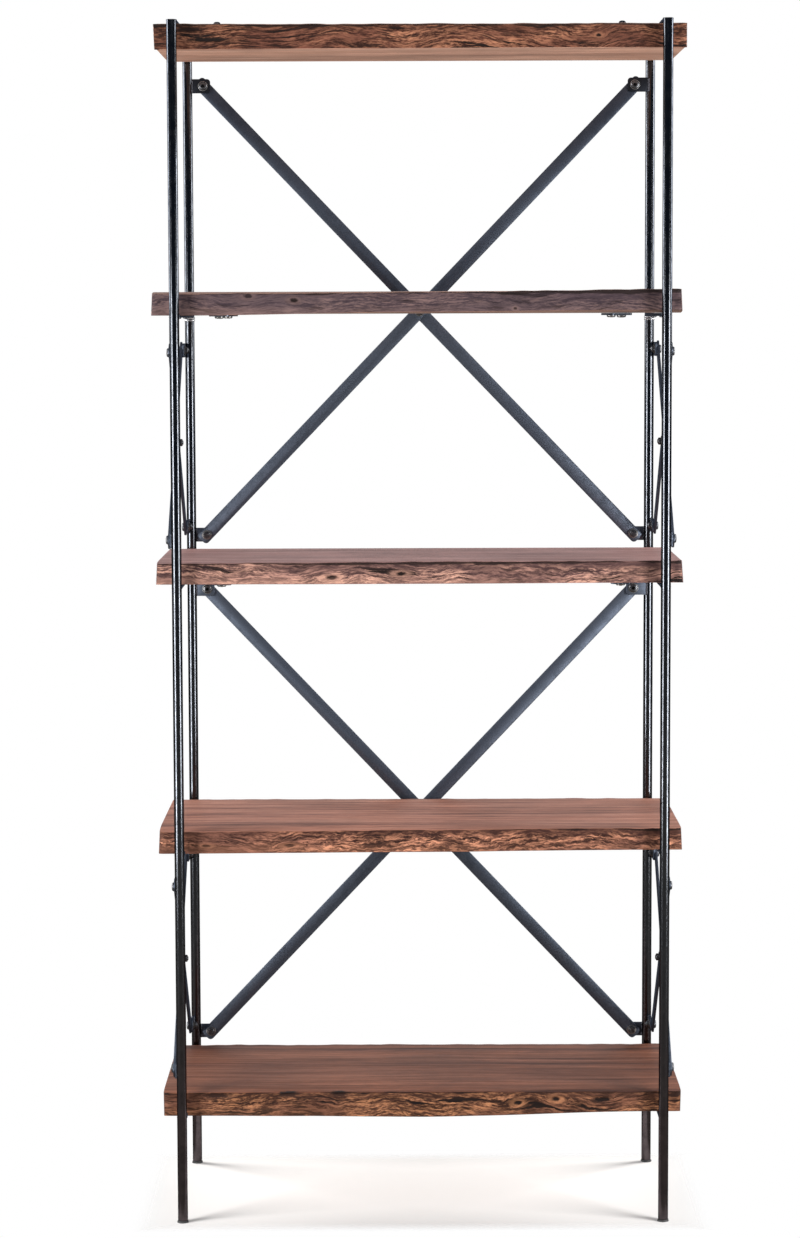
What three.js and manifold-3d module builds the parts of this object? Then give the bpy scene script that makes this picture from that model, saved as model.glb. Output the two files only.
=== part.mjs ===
// Open bookcase: five live-edge wooden shelves in a frame of iron rod, braced by flat iron bars.
// Millimetres, +Z up, width along X, the front faces -Y, origin on the floor at the middle of the plan.
import * as THREE from "three";
import { mergeVertices } from "three/addons/utils/BufferGeometryUtils.js";
import Module from "manifold-3d";

const wasm = await Module();
wasm.setup();

// Driving dimensions
const overallHeight = 2286; // floor to post tops
const shelfLength = 1000; // end to end, the widest part of the bookcase
const postSpacing = 438; // front to back, between post centre lines
const postDiameter = 19;
const shelfThickness = 42;
const shelfOverhang = 38; // from a post centre line out to the shelf's end
const lowestShelfTop = 252; // top face of the lowest shelf above the floor
const shelfPitch = 510; // from one shelf top to the next, up to the fourth
const shelfCount = 5;
const postStandUp = 0.7; // post tops above the rails that lie on the top shelf

// Clearances
const seatGap = 0.3; // between pieces that are welded or screwed face to face
const holeGap = 0.3; // round a shank in its hole
const shelfToPost = 5; // between a post and the proudest part of a live edge

// Live edge of a shelf
const edgeWave = 5; // how far the edge wanders in plan
const edgeBevel = 9; // how far the top and bottom corners fall back
const edgeBevelHeight = 12;
const edgeStations = 16; // points along each long edge
const endRound = 3; // how far the end corners are taken back in plan

// Side rails and their screws into the shelf
const railWidth = 25;
const railThickness = 6;
const screwDiameter = 6;
const screwDepth = 20; // into the wood
const screwInset = 110; // from a post centre line to the screw, along the rail
const screwHeadDiameter = 12;
const screwHeadHeight = 2.5;

// Battens under the lower four shelves, and the bolts through the top one
const battenInset = 81; // in from a post centre line to the batten's centre line
const battenWidth = 38;
const battenThickness = 4;
const battenBoltInset = 69; // in from a post centre line to each bolt, along the batten
const battenEnd = 20; // past each bolt
const battenHeadDiameter = 18;
const battenHeadHeight = 4.5;
const domeHeadDiameter = 14;
const domeHeadHeight = 5;

// Braces, the tabs that they bolt to, and the bolts
const barWidth = 26;
const barThickness = 4.5;
const tabHeight = 28;
const tabThickness = 4;
const tabCorner = 8;
const boltReach = 31; // post centre line to the bolt
const tabEnd = 14.5; // past the bolt, to the tab's free end
const boltDiameter = 8;
const boltHeadDiameter = 17;
const boltHeadHeight = 5;
const nutAcross = 13;
const nutHeight = 6.5;
const boltTail = 1.5; // thread showing past the nut
const headBite = 0.5; // how far a fixed head is sunk in its flat bar
const backTopDrop = 44; // upper bolt below the underside of the shelf above it
const backBottomRise = 24; // lower bolt above the top of the shelf below it
const sideTopDrop = 72;
const sideBottomRise = 42;
const tabBite = 0.8; // how deep an outer side tab is sunk in the round of its post

// Feet
const footFlare = 2; // how far a foot stands out all round its post
const footHeight = 4;
const footPinDiameter = 6;
const footPinLength = 22;

// Facets round a turned piece and a drilled or rounded outline
const postFacets = 16;
const smallFacets = 8;
const arcSteps = smallFacets / 2; // three.js puts twice as many on an arc

const group = new THREE.Group();
const postRadius = postDiameter / 2;
const postX = shelfLength / 2 - shelfOverhang;
const postY = postSpacing / 2;
const battenX = postX - battenInset;
const battenBoltY = postY - battenBoltInset;
const topShelf = shelfCount - 1;

// Top faces of the shelves, counted from the floor; the top one is clamped under its own rails
const shelfTops = [];
for (let level = 0; level < topShelf; level += 1) {
  shelfTops.push(lowestShelfTop + level * shelfPitch);
}
shelfTops.push(overallHeight - postStandUp - railThickness - seatGap);
const undersides = shelfTops.map((top) => top - shelfThickness);

// The two faces of a lap joint between bars that cross face to face
const frontBar = [-seatGap / 2 - barThickness, -seatGap / 2];
const rearBar = [seatGap / 2, seatGap / 2 + barThickness];
const outerTabFace = postRadius - tabBite + tabThickness;
const outerBar = [outerTabFace + seatGap, outerTabFace + seatGap + barThickness];
const innerBar = [outerTabFace - barThickness, outerTabFace];

const before = ([start]) => [start - seatGap - tabThickness, start - seatGap];
const behind = ([, end]) => [end + seatGap, end + seatGap + tabThickness];

// Materials
const iron = new THREE.MeshStandardMaterial({ color: 0x2c3038, roughness: 0.45, metalness: 0.85 });
const fastenerSteel = new THREE.MeshStandardMaterial({ color: 0x3a3d42, roughness: 0.35, metalness: 0.9 });
const wood = new THREE.MeshStandardMaterial({ color: 0x7a4a35, roughness: 0.6, metalness: 0 });
const rubber = new THREE.MeshStandardMaterial({ color: 0x121212, roughness: 0.8, metalness: 0 });

// A closed three.js geometry as a solid for joining and cutting
function solid(geometry) {
  const bare = geometry.clone();
  bare.deleteAttribute("normal");
  bare.deleteAttribute("uv");
  const merged = mergeVertices(bare, 1e-4);
  const mesh = new wasm.Mesh({
    numProp: 3,
    vertProperties: Float32Array.from(merged.attributes.position.array),
    triVerts: Uint32Array.from(merged.index.array),
  });
  return new wasm.Manifold(mesh);
}

function geometryOf(manifold) {
  const { vertProperties, triVerts } = manifold.getMesh();
  const geometry = new THREE.BufferGeometry();
  geometry.setAttribute("position", new THREE.Float32BufferAttribute(vertProperties, 3));
  geometry.setIndex([...triVerts]);
  geometry.computeVertexNormals();
  return geometry;
}

function place(name, geometry, material, parent = group) {
  const mesh = new THREE.Mesh(geometry, material);
  mesh.name = name;
  parent.add(mesh);
  return mesh;
}

function box(minimum, maximum) {
  const size = maximum.map((value, axis) => value - minimum[axis]);
  const geometry = new THREE.BoxGeometry(...size);
  geometry.translate(...maximum.map((value, axis) => (value + minimum[axis]) / 2));
  return geometry;
}

// A rod along Z between two heights
function rod(radius, low, high, facets = smallFacets) {
  const geometry = new THREE.CylinderGeometry(radius, radius, high - low, facets);
  geometry.rotateX(Math.PI / 2);
  geometry.translate(0, 0, (low + high) / 2);
  return geometry;
}

// A domed head that stands up along Z from a seat
function dome(diameter, height, seat) {
  const radius = diameter / 2;
  const rim = 0.35 * height;
  const steps = 2;
  const profile = [new THREE.Vector2(0, 0), new THREE.Vector2(radius, 0)];
  for (let step = 0; step < steps; step += 1) {
    const angle = ((Math.PI / 2) * step) / steps;
    profile.push(new THREE.Vector2(radius * Math.cos(angle), rim + (height - rim) * Math.sin(angle)));
  }
  profile.push(new THREE.Vector2(0, height));
  const geometry = new THREE.LatheGeometry(profile, smallFacets);
  geometry.rotateX(Math.PI / 2);
  geometry.translate(0, 0, seat);
  return geometry;
}

// Corner radius of a faceted hole that clears a round shank
function holeRadius(diameter, facets = smallFacets) {
  return (diameter / 2 + holeGap) / Math.cos(Math.PI / facets);
}

function hexPrism(across, low, high) {
  return rod(across / Math.sqrt(3), low, high, 6);
}

// Bolt along Z: a domed head whose seat is at one height and a nut whose seat is below another
function boltSolid(nutSeat, headSeat) {
  const nutBottom = nutSeat - nutHeight;
  return solid(dome(boltHeadDiameter, boltHeadHeight, headSeat))
    .add(solid(rod(boltDiameter / 2, nutBottom - boltTail, headSeat + boltHeadHeight / 2)))
    .add(solid(hexPrism(nutAcross, nutBottom, nutSeat)));
}

// Frame posts -----------------------------------------------------------------------------------

// A tab drawn from its post centre line: reach along +X, height along Y, extruded along Z
function tabOutline() {
  const half = tabHeight / 2;
  const tabReach = boltReach + tabEnd;
  const shape = new THREE.Shape();
  shape.moveTo(0, -half);
  shape.lineTo(tabReach - tabCorner, -half);
  shape.quadraticCurveTo(tabReach, -half, tabReach, -half + tabCorner);
  shape.lineTo(tabReach, half - tabCorner);
  shape.quadraticCurveTo(tabReach, half, tabReach - tabCorner, half);
  shape.lineTo(0, half);
  shape.closePath();
  const hole = new THREE.Path();
  hole.absarc(boltReach, 0, holeRadius(boltDiameter), 0, 2 * Math.PI, true);
  shape.holes.push(hole);
  return shape;
}

function tabGeometry([low, high]) {
  const options = { depth: high - low, bevelEnabled: false, curveSegments: arcSteps };
  const geometry = new THREE.ExtrudeGeometry(tabOutline(), options);
  geometry.translate(0, 0, low);
  return geometry;
}

// A back tab lies in the XZ plane and points to the middle of the bookcase
function backTab(side, height, span) {
  const geometry = tabGeometry(span);
  const basis = new THREE.Matrix4().makeBasis(
    new THREE.Vector3(-side, 0, 0),
    new THREE.Vector3(0, 0, side),
    new THREE.Vector3(0, 1, 0),
  );
  geometry.applyMatrix4(basis);
  geometry.translate(0, 0, height);
  return geometry;
}

// A side tab lies in the YZ plane and points from its post to the middle of the side
function sideTab(side, inward, height, span) {
  const geometry = tabGeometry(span);
  const basis = new THREE.Matrix4().makeBasis(
    new THREE.Vector3(0, inward, 0),
    new THREE.Vector3(0, 0, side * inward),
    new THREE.Vector3(side, 0, 0),
  );
  geometry.applyMatrix4(basis);
  geometry.translate(0, 0, height);
  return geometry;
}

const backBays = [
  { name: "lower", bottom: shelfTops[0] + backBottomRise, top: undersides[2] - backTopDrop },
  { name: "upper", bottom: shelfTops[2] + backBottomRise, top: undersides[4] - backTopDrop },
];
const sideBays = [
  { name: "lower", bottom: shelfTops[0] + sideBottomRise, top: undersides[1] - sideTopDrop },
  { name: "upper", bottom: shelfTops[2] + sideBottomRise, top: undersides[3] - sideTopDrop },
];

// The rear bar falls from left to right behind its top tab; the front bar rises the other way
function backTabs(side) {
  const bar = { top: side < 0 ? rearBar : frontBar, bottom: side < 0 ? frontBar : rearBar };
  return backBays.flatMap((bay) => [
    backTab(side, bay.top, before(bar.top)),
    backTab(side, bay.bottom, behind(bar.bottom)),
  ]);
}

// The outer bar of a side runs from the rear post's top tab to the front post's bottom tab
function sideTabs(side, end) {
  const isRear = end > 0;
  const topBar = isRear ? outerBar : innerBar;
  const bottomBar = isRear ? innerBar : outerBar;
  return sideBays.flatMap((bay) => [
    sideTab(side, -end, bay.top, before(topBar)),
    sideTab(side, -end, bay.bottom, before(bottomBar)),
  ]);
}

function post(side, end) {
  const chamfer = 1;
  const low = footHeight + seatGap;
  const profile = [
    new THREE.Vector2(0, low),
    new THREE.Vector2(postRadius, low),
    new THREE.Vector2(postRadius, overallHeight - chamfer),
    new THREE.Vector2(postRadius - chamfer, overallHeight),
    new THREE.Vector2(0, overallHeight),
  ];
  const geometry = new THREE.LatheGeometry(profile, postFacets);
  geometry.rotateX(Math.PI / 2);
  const pinHole = rod(holeRadius(footPinDiameter), low - 1, footHeight + footPinLength + seatGap);
  const tabs = sideTabs(side, end);
  if (end > 0) {
    tabs.push(...backTabs(side));
  }
  const welded = tabs.reduce((sum, tab) => sum.add(solid(tab)), solid(geometry));
  return geometryOf(welded.subtract(solid(pinHole)));
}

// Feet ------------------------------------------------------------------------------------------

function foot() {
  const softEdge = 1;
  const radius = postRadius + footFlare;
  const profile = [
    new THREE.Vector2(0, 0),
    new THREE.Vector2(radius - softEdge, 0),
    new THREE.Vector2(radius, softEdge),
    new THREE.Vector2(radius, footHeight - softEdge),
    new THREE.Vector2(radius - softEdge, footHeight),
    new THREE.Vector2(footPinDiameter / 2, footHeight),
    new THREE.Vector2(footPinDiameter / 2, footHeight + footPinLength),
    new THREE.Vector2(0, footHeight + footPinLength),
  ];
  const geometry = new THREE.LatheGeometry(profile, smallFacets * 2);
  geometry.rotateX(Math.PI / 2);
  return geometry;
}

const sides = [
  { name: "left", side: -1 },
  { name: "right", side: 1 },
];
const ends = [
  { name: "front", end: -1 },
  { name: "rear", end: 1 },
];

for (const { name: sideName, side } of sides) {
  for (const { name: endName, end } of ends) {
    const corner = new THREE.Group();
    corner.position.set(side * postX, end * postY, 0);
    place(`post_${endName}_${sideName}`, post(side, end), iron, corner);
    place(`foot_${endName}_${sideName}`, foot(), rubber, corner);
    group.add(corner);
  }
}

// Shelves ---------------------------------------------------------------------------------------

// Half depth of a slab's live edge at a place along its length
function edgeAt(x, phase) {
  const widest = postY - postRadius - shelfToPost;
  const wander = Math.sin(x / 70 + phase) + 0.6 * Math.sin(x / 31 + 2.3 * phase);
  return widest - edgeWave * (0.5 + wander / 3.2);
}

function slabOutline(level, inset) {
  const half = shelfLength / 2 - inset;
  const shape = new THREE.Shape();
  const edge = (x, phase) => edgeAt(x, phase) - inset;
  for (let station = 0; station <= edgeStations; station += 1) {
    const x = -half + (2 * half * station) / edgeStations;
    const corner = station === 0 || station === edgeStations ? endRound : 0;
    const y = -edge(x, level + 1) + corner;
    if (station === 0) {
      shape.moveTo(x, y);
    } else {
      shape.lineTo(x, y);
    }
  }
  for (let station = edgeStations; station >= 0; station -= 1) {
    const x = -half + (2 * half * station) / edgeStations;
    const corner = station === 0 || station === edgeStations ? endRound : 0;
    shape.lineTo(x, edge(x, level + 4) - corner);
  }
  shape.closePath();
  return shape;
}

function slab(level) {
  const options = {
    depth: shelfThickness - 2 * edgeBevelHeight,
    bevelEnabled: true,
    bevelSize: edgeBevel,
    bevelThickness: edgeBevelHeight,
    bevelSegments: 2,
  };
  const geometry = new THREE.ExtrudeGeometry(slabOutline(level, edgeBevel), options);
  geometry.translate(0, 0, undersides[level] + edgeBevelHeight);
  return geometry;
}

// The lower shelves are fixed from below, the top one from above
const fixedFromAbove = (level) => level === topShelf;

// Places where a screw or bolt enters a shelf
function shelfHoles() {
  const screwY = postY - screwInset;
  const holes = [];
  for (const { side } of sides) {
    for (const { end } of ends) {
      holes.push({ x: side * postX, y: end * screwY });
      holes.push({ x: side * battenX, y: end * battenBoltY });
    }
  }
  return holes;
}

function shelf(level) {
  const top = shelfTops[level];
  const underside = undersides[level];
  const depth = screwDepth + seatGap;
  const span = fixedFromAbove(level) ? [top - depth, top + 1] : [underside - 1, underside + depth];
  const drill = solid(rod(holeRadius(screwDiameter), ...span));
  const drilled = shelfHoles().reduce(
    (wooden, { x, y }) => wooden.subtract(drill.translate([x, y, 0])),
    solid(slab(level)),
  );
  return geometryOf(drilled);
}

for (let level = 0; level < shelfCount; level += 1) {
  place(`shelf_${level + 1}`, shelf(level), wood);
}

// Screws that point into a shelf ----------------------------------------------------------------

// A screw through a flat iron into the shelf above it, with its head fast on the iron's underside
function screwSolid(ironThickness, headDiameter, headHeight) {
  const head = solid(dome(headDiameter, headHeight + headBite, -headBite)).rotate([180, 0, 0]);
  const shank = solid(rod(screwDiameter / 2, 0, ironThickness + screwDepth));
  return head.add(shank);
}

// Rails -----------------------------------------------------------------------------------------

// A rail runs from post to post, scalloped to the posts, with its two shelf screws
function rail() {
  const bar = solid(box([-railWidth / 2, -postY, 0], [railWidth / 2, postY, railThickness]));
  const scallopRadius = (postRadius + seatGap) / Math.cos(Math.PI / postFacets);
  const scallop = solid(rod(scallopRadius, -1, railThickness + 1, postFacets));
  const screw = screwSolid(railThickness, screwHeadDiameter, screwHeadHeight);
  const screwY = postY - screwInset;
  return bar
    .subtract(scallop.translate([0, -postY, 0]))
    .subtract(scallop.translate([0, postY, 0]))
    .add(screw.translate([0, -screwY, 0]))
    .add(screw.translate([0, screwY, 0]));
}

for (const { name: sideName, side } of sides) {
  for (let level = 0; level < shelfCount; level += 1) {
    const seat = new THREE.Group();
    if (fixedFromAbove(level)) {
      seat.rotation.x = Math.PI;
      seat.position.set(side * postX, 0, shelfTops[level] + seatGap + railThickness);
    } else {
      seat.position.set(side * postX, 0, undersides[level] - seatGap - railThickness);
    }
    place(`rail_${sideName}_${level + 1}`, geometryOf(rail()), iron, seat);
    group.add(seat);
  }
}

// Battens and top bolts -------------------------------------------------------------------------

// A flat batten with its two bolts, drawn for a shelf above it
function batten() {
  const halfWidth = battenWidth / 2;
  const halfLength = battenBoltY + battenEnd;
  const bar = solid(box([-halfWidth, -halfLength, 0], [halfWidth, halfLength, battenThickness]));
  const bolt = screwSolid(battenThickness, battenHeadDiameter, battenHeadHeight);
  return bar.add(bolt.translate([0, -battenBoltY, 0])).add(bolt.translate([0, battenBoltY, 0]));
}

function topBolt() {
  const head = solid(dome(domeHeadDiameter, domeHeadHeight, seatGap));
  return head.add(solid(rod(screwDiameter / 2, -screwDepth, seatGap + 1)));
}

for (const { name: sideName, side } of sides) {
  for (let level = 0; level < topShelf; level += 1) {
    const seat = new THREE.Group();
    seat.position.set(side * battenX, 0, undersides[level] - seatGap - battenThickness);
    place(`batten_${sideName}_${level + 1}`, geometryOf(batten()), iron, seat);
    group.add(seat);
  }
  for (const { name: endName, end } of ends) {
    const bolt = place(`top_bolt_${endName}_${sideName}`, geometryOf(topBolt()), fastenerSteel);
    bolt.position.set(side * battenX, end * battenBoltY, shelfTops[topShelf]);
  }
}

// Brace bars ------------------------------------------------------------------------------------

// A flat bar along X about its middle, extruded along Z, with round ends and the holes asked for
function barGeometry(length, holes, [low, high]) {
  const half = length / 2;
  const radius = barWidth / 2;
  const shape = new THREE.Shape();
  shape.moveTo(-half, -radius);
  shape.lineTo(half, -radius);
  shape.absarc(half, 0, radius, -Math.PI / 2, Math.PI / 2, false);
  shape.lineTo(-half, radius);
  shape.absarc(-half, 0, radius, Math.PI / 2, (3 * Math.PI) / 2, false);
  for (const at of holes) {
    const hole = new THREE.Path();
    hole.absarc(at, 0, holeRadius(boltDiameter), 0, 2 * Math.PI, true);
    shape.holes.push(hole);
  }
  const options = { depth: high - low, bevelEnabled: false, curveSegments: arcSteps };
  const geometry = new THREE.ExtrudeGeometry(shape, options);
  geometry.translate(0, 0, low);
  return geometry;
}

// Turns a piece so that its X runs along one direction and its Z along another
function turned(object, along, through) {
  const across = new THREE.Vector3().crossVectors(through, along);
  object.quaternion.setFromRotationMatrix(new THREE.Matrix4().makeBasis(along, across, through));
}

// A bolt through a stack of plates, with its head towards the front (-1) or the rear (1)
function backBolt(name, x, z, [near, far], headEnd) {
  const [low, high] = headEnd > 0 ? [near, far] : [-far, -near];
  const bolt = place(name, geometryOf(boltSolid(low - seatGap, high + seatGap)), fastenerSteel);
  turned(bolt, new THREE.Vector3(1, 0, 0), new THREE.Vector3(0, headEnd, 0));
  bolt.position.set(x, postY, z);
}

const stack = (a, b) => [Math.min(a[0], b[0]), Math.max(a[1], b[1])];
const backBoltX = postX - boltReach;
const sideBoltY = postY - boltReach;

for (const bay of backBays) {
  const climb = bay.top - bay.bottom;
  const middle = (bay.top + bay.bottom) / 2;
  const length = Math.hypot(2 * backBoltX, climb);
  const bars = [
    { name: "falling", bar: rearBar, rise: -1 },
    { name: "rising", bar: frontBar, rise: 1 },
  ];
  for (const { name, bar, rise } of bars) {
    const holes = [-length / 2, 0, length / 2];
    const brace = place(`back_brace_${bay.name}_${name}`, barGeometry(length, holes, bar), iron);
    const along = new THREE.Vector3(2 * backBoltX, 0, rise * climb).normalize();
    turned(brace, along, new THREE.Vector3(0, 1, 0));
    brace.position.set(0, postY, middle);
  }
  for (const { name: sideName, side } of sides) {
    const topBar = side < 0 ? rearBar : frontBar;
    const bottomBar = side < 0 ? frontBar : rearBar;
    const corners = [
      { name: "top", z: bay.top, plates: stack(topBar, before(topBar)), headEnd: -1 },
      { name: "bottom", z: bay.bottom, plates: stack(bottomBar, behind(bottomBar)), headEnd: 1 },
    ];
    for (const { name, z, plates, headEnd } of corners) {
      backBolt(`back_bolt_${bay.name}_${name}_${sideName}`, side * backBoltX, z, plates, headEnd);
    }
  }
  backBolt(`back_bolt_${bay.name}_centre`, 0, middle, stack(frontBar, rearBar), -1);
}

// A side brace is one piece with the bolts that hold it to its two tabs
function sideBrace(length, bar, holes) {
  const [tabFace] = before(bar);
  const bolt = boltSolid(tabFace - seatGap, bar[1] - headBite);
  return solid(barGeometry(length, holes, bar))
    .add(bolt.translate([-length / 2, 0, 0]))
    .add(bolt.translate([length / 2, 0, 0]));
}

for (const { name: sideName, side } of sides) {
  for (const bay of sideBays) {
    const climb = bay.top - bay.bottom;
    const length = Math.hypot(2 * sideBoltY, climb);
    const inner = sideBrace(length, innerBar, [0]);
    const crossing = boltSolid(innerBar[0] - seatGap, outerBar[1] - headBite);
    const outer = sideBrace(length, outerBar, []).add(crossing);
    const bars = [
      { name: "inner", shape: inner, rise: -1 },
      { name: "outer", shape: outer, rise: 1 },
    ];
    for (const { name, shape, rise } of bars) {
      const brace = place(`side_brace_${sideName}_${bay.name}_${name}`, geometryOf(shape), iron);
      const along = new THREE.Vector3(0, 2 * sideBoltY, rise * climb).normalize();
      turned(brace, along, new THREE.Vector3(side, 0, 0));
      brace.position.set(side * postX, 0, (bay.top + bay.bottom) / 2);
    }
  }
}

export default group;
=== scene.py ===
import math
import random
import bpy
from mathutils import Matrix, Vector


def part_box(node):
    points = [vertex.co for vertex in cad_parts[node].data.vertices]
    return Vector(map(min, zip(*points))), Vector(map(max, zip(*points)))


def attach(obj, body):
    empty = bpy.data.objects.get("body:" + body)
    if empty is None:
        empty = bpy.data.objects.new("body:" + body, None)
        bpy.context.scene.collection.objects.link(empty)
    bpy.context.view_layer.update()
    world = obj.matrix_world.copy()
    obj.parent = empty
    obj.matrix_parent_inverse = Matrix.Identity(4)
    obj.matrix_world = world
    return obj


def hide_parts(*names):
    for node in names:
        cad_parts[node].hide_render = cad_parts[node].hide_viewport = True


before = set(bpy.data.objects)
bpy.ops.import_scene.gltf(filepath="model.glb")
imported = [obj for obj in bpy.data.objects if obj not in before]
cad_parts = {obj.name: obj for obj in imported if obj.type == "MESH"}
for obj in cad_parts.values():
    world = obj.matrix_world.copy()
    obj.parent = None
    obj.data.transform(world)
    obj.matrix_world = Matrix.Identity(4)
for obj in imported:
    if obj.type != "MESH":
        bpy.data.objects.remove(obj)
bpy.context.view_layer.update()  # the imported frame: every place below comes from its boxes

sides = ("left", "right")
ends = ("front", "rear")
bays = ("lower", "upper")
levels = (1, 2, 3, 4, 5)
topLevel = 5
turn = 2 * math.pi


# helpers for the pieces

def middleOf(node):
    low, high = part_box(node)
    return (low + high) / 2


def clearSelection():
    if bpy.context.object and bpy.context.object.mode != "OBJECT":
        bpy.ops.object.mode_set(mode="OBJECT")
    bpy.ops.object.select_all(action="DESELECT")


def activate(*pieces):
    clearSelection()
    for piece in pieces:
        piece.select_set(True)
    bpy.context.view_layer.objects.active = pieces[0]


def named(name):
    piece = bpy.context.object
    piece.name = name
    piece.data.name = name
    return piece


def pick(piece, kind, wanted):
    # selects the verts, edges or faces that pass, and leaves the piece in edit mode
    activate(piece)
    mesh = piece.data
    bpy.context.tool_settings.mesh_select_mode = tuple(kind == k for k in ("vert", "edge", "face"))
    for group in (mesh.vertices, mesh.edges, mesh.polygons):
        group.foreach_set("select", [False] * len(group))
    if kind == "vert":
        mesh.vertices.foreach_set("select", [wanted(v.co) for v in mesh.vertices])
    elif kind == "edge":
        points = [v.co for v in mesh.vertices]
        for edge in mesh.edges:
            edge.select = wanted(points[edge.vertices[0]], points[edge.vertices[1]])
    else:
        for face in mesh.polygons:
            face.select = wanted(face.center, face.normal)
    bpy.ops.object.mode_set(mode="EDIT")


def done():
    bpy.ops.object.mode_set(mode="OBJECT")


def settle(piece):
    # puts the object's place into its mesh
    activate(piece)
    bpy.ops.object.transform_apply(location=True, rotation=True, scale=True)


def recalculate(piece):
    pick(piece, "vert", lambda co: True)
    bpy.ops.mesh.remove_doubles(threshold=1e-6)
    bpy.ops.mesh.normals_make_consistent(inside=False)
    done()


def cube(name, low, high):
    clearSelection()
    middle = [(a + b) / 2 for a, b in zip(low, high)]
    bpy.ops.mesh.primitive_cube_add(size=1, location=middle)
    piece = named(name)
    piece.scale = [b - a for a, b in zip(low, high)]
    settle(piece)
    return piece


def cylinder(name, radius, low, high, sidesRound, place=(0, 0)):
    clearSelection()
    bpy.ops.mesh.primitive_cylinder_add(
        vertices=sidesRound, radius=radius, depth=high - low,
        location=(place[0], place[1], (low + high) / 2))
    piece = named(name)
    settle(piece)
    return piece


def applyAll(piece):
    activate(piece)
    for modifier in list(piece.modifiers):
        bpy.ops.object.modifier_apply(modifier=modifier.name)


def softenEdges(piece, width, segments=2, angle=40):
    bevel = piece.modifiers.new("soften", "BEVEL")
    bevel.width = width
    bevel.segments = segments
    bevel.limit_method = "ANGLE"
    bevel.angle_limit = math.radians(angle)
    applyAll(piece)


def copyPiece(piece, name, matrix=Matrix.Identity(4)):
    twin = piece.copy()
    twin.data = piece.data.copy()
    twin.name = name
    twin.data.name = name
    bpy.context.scene.collection.objects.link(twin)
    twin.matrix_world = matrix
    settle(twin)
    if matrix.is_negative:
        recalculate(twin)
    return twin


def joined(name, pieces):
    activate(*pieces)
    if len(pieces) > 1:
        bpy.ops.object.join()
    piece = bpy.context.object
    piece.name = name
    piece.data.name = name
    return piece


def discard(*pieces):
    for piece in pieces:
        bpy.data.objects.remove(piece)


def coat(piece, *materials):
    piece.data.materials.clear()
    for material in materials:
        piece.data.materials.append(material)
    return piece


def finish(piece, node, smooth=35):
    activate(piece)
    bpy.ops.object.shade_smooth_by_angle(angle=math.radians(smooth))
    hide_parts(node)
    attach(piece, "root")


# helpers for the node trees: each finds its tree from the sockets that it is given
def startGroup(name, inputs, outputs):
    tree = bpy.data.node_groups.new(name, "ShaderNodeTree")
    kinds = {"f": "NodeSocketFloat", "v": "NodeSocketVector", "c": "NodeSocketColor"}
    for labels, way in ((inputs, "INPUT"), (outputs, "OUTPUT")):
        for label, kind in labels:
            tree.interface.new_socket(name=label, in_out=way, socket_type=kinds[kind])
    return tree, tree.nodes.new("NodeGroupInput").outputs, tree.nodes.new("NodeGroupOutput").inputs


def addNode(kind, *values):
    tree = next(value.id_data for value in values if isinstance(value, bpy.types.NodeSocket))
    return tree.nodes.new(f"ShaderNode{kind}")


def feed(socket, value):
    # a socket of another node is linked, a plain value is typed in
    if isinstance(value, bpy.types.NodeSocket):
        socket.id_data.links.new(value, socket)
    elif value is not None:
        socket.default_value = value


def feedAll(node, **values):
    for label, value in values.items():
        feed(node.inputs[label.replace("_", " ")], value)


def mathNode(operation, a, b=None):
    node = addNode("Math", a, b)
    node.operation = operation
    feed(node.inputs[0], a)
    feed(node.inputs[1], b)
    return node.outputs[0]


def times(a, b):
    return mathNode("MULTIPLY", a, b)


def plus(a, b):
    return mathNode("ADD", a, b)


def minus(a, b):
    return mathNode("SUBTRACT", a, b)


def shared(*shares):
    # adds values up, each with its share
    total = None
    for value, share in shares:
        part = times(value, share)
        total = part if total is None else plus(total, part)
    return total


def vectorNode(operation, a, b=None, out="Vector"):
    node = addNode("VectorMath", a, b)
    node.operation = operation
    feed(node.inputs[0], a)
    feed(node.inputs[1], b)
    return node.outputs[out]


def noiseNode(vector, scale, detail=2.0, rough=0.5, distortion=0.0):
    node = addNode("TexNoise", vector)
    feedAll(node, Vector=vector, Scale=scale, Detail=detail, Roughness=rough, Distortion=distortion)
    return node.outputs["Fac"]


def stretchedNoise(vector, stretch, detail=2.0, rough=0.5, distortion=0.0):
    return noiseNode(vectorNode("MULTIPLY", vector, stretch), 1.0, detail, rough, distortion)


def rangeNode(value, low, high, toLow=0.0, toHigh=1.0, smooth=True):
    node = addNode("MapRange", value)
    node.interpolation_type = "SMOOTHSTEP" if smooth else "LINEAR"
    feedAll(node, Value=value, From_Min=low, From_Max=high, To_Min=toLow, To_Max=toHigh)
    return node.outputs["Result"]


def mixNode(factor, a, b, blend="MIX"):
    node = addNode("Mix", factor, a, b)
    node.data_type = "RGBA"
    node.blend_type = blend
    feedAll(node, Factor=factor, A=a, B=b)
    return node.outputs["Result"]


def multiplied(a, b):
    return mixNode(1.0, a, b, "MULTIPLY")


def axisOf(vector, axis):
    split = addNode("SeparateXYZ", vector)
    feed(split.inputs[0], vector)
    return split.outputs[axis]


def moved(vector, axis, value):
    # pushes a vector along one axis
    shift = addNode("CombineXYZ", value)
    feed(shift.inputs[axis], value)
    return vectorNode("ADD", vector, shift.outputs[0])


def chooseSurface(factor, first, second, out):
    choose = addNode("MixShader", factor)
    for socket, value in zip(choose.inputs, (factor, first, second)):
        feed(socket, value)
    feed(out.inputs["Surface"], choose.outputs[0])


# camera, light and floor

camera = {
    "place": (-0.032, -6.279, 1.740),
    "downDeg": 5.42,
    "turnDeg": 0.08,
    "rollDeg": -0.19,
    "lens": 93.6,
    "sensor": 36,
    "clipEnd": 60,
}


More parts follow.
